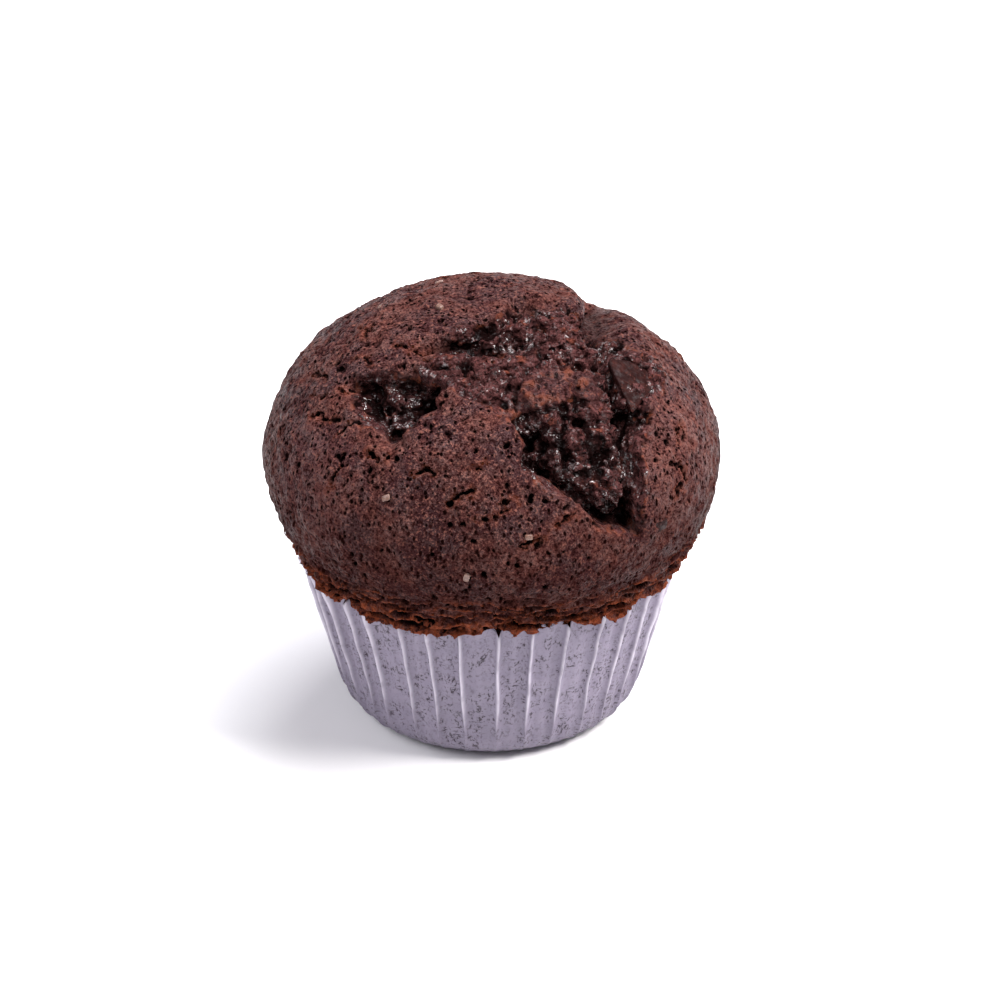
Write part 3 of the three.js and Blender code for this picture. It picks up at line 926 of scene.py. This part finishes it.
def make_paper():
    """The case as one closed shell: rows of points up the wall, and columns round it."""
    ridges = ridge_azimuths()
    following = np.append(ridges[1:], ridges[0] + 360)
    share = np.array(PLEAT_STEPS)
    azimuth = (ridges[:, None] + (following - ridges)[:, None] * share).ravel()
    pleat = np.repeat(np.arange(PLEAT_COUNT), len(share))
    from_crest = np.tile(np.minimum(share, 1 - share), PLEAT_COUNT)
    nearest = np.where(np.tile(share, PLEAT_COUNT) > 0.5, pleat + 1, pleat) % PLEAT_COUNT
    columns = len(azimuth)

    heights = []
    for i in range(CORNER_ROWS + 1):
        heights.append(CORNER_RADIUS * (1 - math.cos(math.pi / 2 * i / CORNER_ROWS)))
    for i in range(1, WALL_ROWS + 1):
        heights.append(CORNER_RADIUS + (RIM_HEIGHT - CORNER_RADIUS) * i / WALL_ROWS)
    heights = np.array(heights)
    rows = len(heights)
    z = np.repeat(heights[:, None], columns, 1)
    turn = np.repeat(azimuth[None], rows, 0)
    own = nearest[None] + 0 * turn.astype(int)
    zero = np.zeros_like(z)

    def wander(size, seed):
        """Noise that runs up each ridge, different for every ridge."""
        key = np.stack([own * 7.3, z / size, zero], -1).reshape(-1, 3).astype(np.float32)
        return noise(key, 1.0, seed).reshape(z.shape)

    up = np.clip(z / RIM_HEIGHT, 0, 1)
    depth = (0.38 + 0.75 * up**1.3) * (1 + 0.25 * wander(9.0, 81)) * ramp(z, -2.5, 7)
    side = np.where(np.tile(share, PLEAT_COUNT) > 0.5, 0.8, 1.7)
    width = (0.11 + 0.06 * (1 - ramp(z, 6, 22))) * side
    ridge = np.clip(1 - from_crest[None] / width, 0, 1) ** 2
    hollow = -0.55 * (0.35 + 0.65 * up) * np.sin(np.pi * np.clip(from_crest[None] / 0.5, 0, 1)) ** 2
    direction = np.radians(turn)
    around = np.stack([np.sin(direction) * 30, -np.cos(direction) * 30, z], -1)
    flat = around.reshape(-1, 3).astype(np.float32)
    crinkle = 0.16 * noise(flat, 3.5, 82) + 0.08 * noise(flat, 1.5, 83)
    crinkle = crinkle.reshape(z.shape) * ramp(z, 0.3, 3)
    sway = 0.7 * wander(7.0, 84) * ridge * ramp(z, 3, 12)
    direction = np.radians(turn + sway)
    base = wall_radius(heights)[:, None]
    radius = base + depth * ridge + hollow + crinkle
    dip = 1.1 * ridge * ramp(z, RIM_HEIGHT - 6, RIM_HEIGHT)
    wave = 0.3 * noise(flat, 6.0, 85).reshape(z.shape) * ramp(z, RIM_HEIGHT - 5, RIM_HEIGHT)
    height = z - dip - np.abs(wave)

    # Flat base inside the rounded corner, as rings that shrink to the middle.
    rings = [0.92, 0.75, 0.5, 0.25]
    flat_radius = [radius[0] * r for r in rings]
    outer_radius = np.vstack([*flat_radius[::-1], radius])
    outer_height = np.vstack([np.zeros((len(rings), columns)), height])
    outer_turn = np.vstack([np.repeat(direction[:1], len(rings), 0), direction])
    crest = np.vstack([np.zeros((len(rings), columns)), ridge * ramp(z, 1, 16)])
    inner_radius = outer_radius - PAPER_THICKNESS
    inner_height = np.maximum(outer_height, PAPER_THICKNESS)
    inner_height[-1] = outer_height[-1]

    def ring_points(r, h):
        return np.stack([np.sin(outer_turn) * r, -np.cos(outer_turn) * r, h], -1)

    sides = [ring_points(outer_radius, outer_height), ring_points(inner_radius, inner_height)]
    total = outer_radius.shape[0]
    points = np.concatenate([side.reshape(-1, 3) for side in sides])
    points = np.vstack([points, [[0, 0, 0], [0, 0, PAPER_THICKNESS]]])
    number = np.arange(total * columns).reshape(total, columns)
    after = np.roll(number, -1, 1)
    outside = np.stack([number[:-1], after[:-1], after[1:], number[1:]], -1).reshape(-1, 4)
    shift = total * columns
    inside = outside[:, ::-1] + shift
    rim = np.stack([number[-1], after[-1], after[-1] + shift, number[-1] + shift], -1)
    faces = np.vstack([outside, inside, rim]).tolist()
    middle = len(points) - 2
    faces += [[int(b), int(a), middle] for a, b in zip(number[0], after[0])]
    faces += [[int(a) + shift, int(b) + shift, middle + 1] for a, b in zip(number[0], after[0])]
    mesh = bpy.data.meshes.new("paper_case")
    mesh.from_pydata((points * MM).tolist(), [], faces)
    value = np.concatenate([crest.ravel(), crest.ravel(), [0, 0]])
    layer = mesh.attributes.new("crest", "FLOAT", "POINT")
    layer.data.foreach_set("value", np.ascontiguousarray(value, np.float32))
    mesh.update()
    return add_piece("pleated_paper_case", mesh, paper_material(), "paper", "paper_case")


# ---- Chocolate and sugar ----


def faceted_piece(name, node, material, slot, shrink, bevel, sink, seed):
    """The CAD solid with its corners worn in, its edges rounded and pressed into the crown."""
    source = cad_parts[node].data
    corners = {tuple(round(c, 6) for c in vertex.co) for vertex in source.vertices}
    corners = [Vector(c) for c in sorted(corners)]
    middle = sum(corners, Vector()) / len(corners)
    inward = (Vector((CROWN_SHIFT, 0, CROWN_LEVEL)) * MM - middle).normalized() * sink * MM
    random = np.random.default_rng(seed)
    mesh = bpy.data.meshes.new(name)
    body = bmesh.new()
    for corner in corners:
        body.verts.new(corner.lerp(middle, shrink * random.random()) + inward)
    bmesh.ops.convex_hull(body, input=body.verts)
    bmesh.ops.dissolve_limit(
        body, angle_limit=math.radians(4), verts=body.verts, edges=body.edges
    )
    bmesh.ops.bevel(
        body, geom=body.edges[:], offset=bevel * MM, segments=3, profile=0.6, affect="EDGES"
    )
    bmesh.ops.recalc_face_normals(body, faces=body.faces)
    body.to_mesh(mesh)
    body.free()
    return add_piece(name, mesh, material, slot, node)


def make_chocolate():
    material = chocolate_material()
    faceted_piece("dark_chocolate_chunk", "chocolate_chunk", material, "chocolate", 0.08, 0.5, 0.5, 1)
    faceted_piece("dark_chocolate_chip", "chocolate_chip", material, "chocolate", 0.1, 0.3, 0.6, 2)


def make_sugar():
    material = sugar_material()
    nodes = sorted(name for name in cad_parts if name.startswith("sugar_grain"))
    for index, node in enumerate(nodes):
        faceted_piece("crystal_" + node, node, material, "sugar", 0.4, 0.14, 0.25, 10 + index)


# ---- Floor, light and camera ----


def make_floor():
    mesh = bpy.data.meshes.new("floor")
    half = 3.0
    corners = [(-half, -half, 0), (half, -half, 0), (half, half, 0), (-half, half, 0)]
    mesh.from_pydata(corners, [], [(0, 1, 2, 3)])
    material = bpy.data.materials.new("floor")
    material.use_nodes = True
    surface = material.node_tree.nodes["Principled BSDF"]
    surface.inputs["Base Color"].default_value = (0.82, 0.82, 0.83, 1)
    surface.inputs["Roughness"].default_value = 0.9
    mesh.materials.append(material)
    floor = bpy.data.objects.new("floor", mesh)
    bpy.context.scene.collection.objects.link(floor)


def area_light(name, azimuth, elevation, distance, size, power, colour):
    """A square lamp that faces the muffin from that direction."""
    lamp = bpy.data.lights.new(name, "AREA")
    lamp.size = size
    lamp.energy = power
    lamp.color = colour
    light = bpy.data.objects.new(name, lamp)
    a, e = radians((azimuth, elevation))
    away = Vector((math.sin(a) * math.cos(e), -math.cos(a) * math.cos(e), math.sin(e)))
    light.location = away * distance + Vector((0, 0, 40 * MM))
    light.rotation_mode = "QUATERNION"
    light.rotation_quaternion = away.to_track_quat("Z", "Y")
    bpy.context.scene.collection.objects.link(light)


def make_lights():
    world = bpy.data.worlds.new("studio")
    world.use_nodes = True
    sky = world.node_tree.nodes["Background"]
    sky.inputs["Color"].default_value = (0.97, 0.96, 1.0, 1)
    sky.inputs["Strength"].default_value = 0.25
    bpy.context.scene.world = world
    area_light("key", 70, 50, 0.9, 0.32, 13.0, (1.0, 0.97, 0.96))
    area_light("top", 150, 68, 0.9, 0.6, 12.0, (0.98, 0.97, 1.0))
    area_light("fill", -74, 42, 1.0, 0.7, 7.2, (0.97, 0.96, 1.0))
    bpy.context.scene.view_settings.view_transform = "Standard"


def make_camera():
    elevation = math.radians(30)
    distance = 0.65
    back = Vector((0, -math.cos(elevation), math.sin(elevation)))
    upward = Vector((0, math.sin(elevation), math.cos(elevation)))
    target = Vector((1.8, 0, 38)) * MM - 1.14 * MM * upward
    data = bpy.data.cameras.new("camera")
    data.sensor_width = 36
    data.lens = 137.5
    camera = bpy.data.objects.new("camera", data)
    camera.location = target + back * distance
    camera.rotation_mode = "QUATERNION"
    camera.rotation_quaternion = back.to_track_quat("Z", "Y")
    bpy.context.scene.collection.objects.link(camera)
    bpy.context.scene.camera = camera


make_camera()
make_cake()
make_paper()
make_chocolate()
make_sugar()
make_floor()
make_lights()
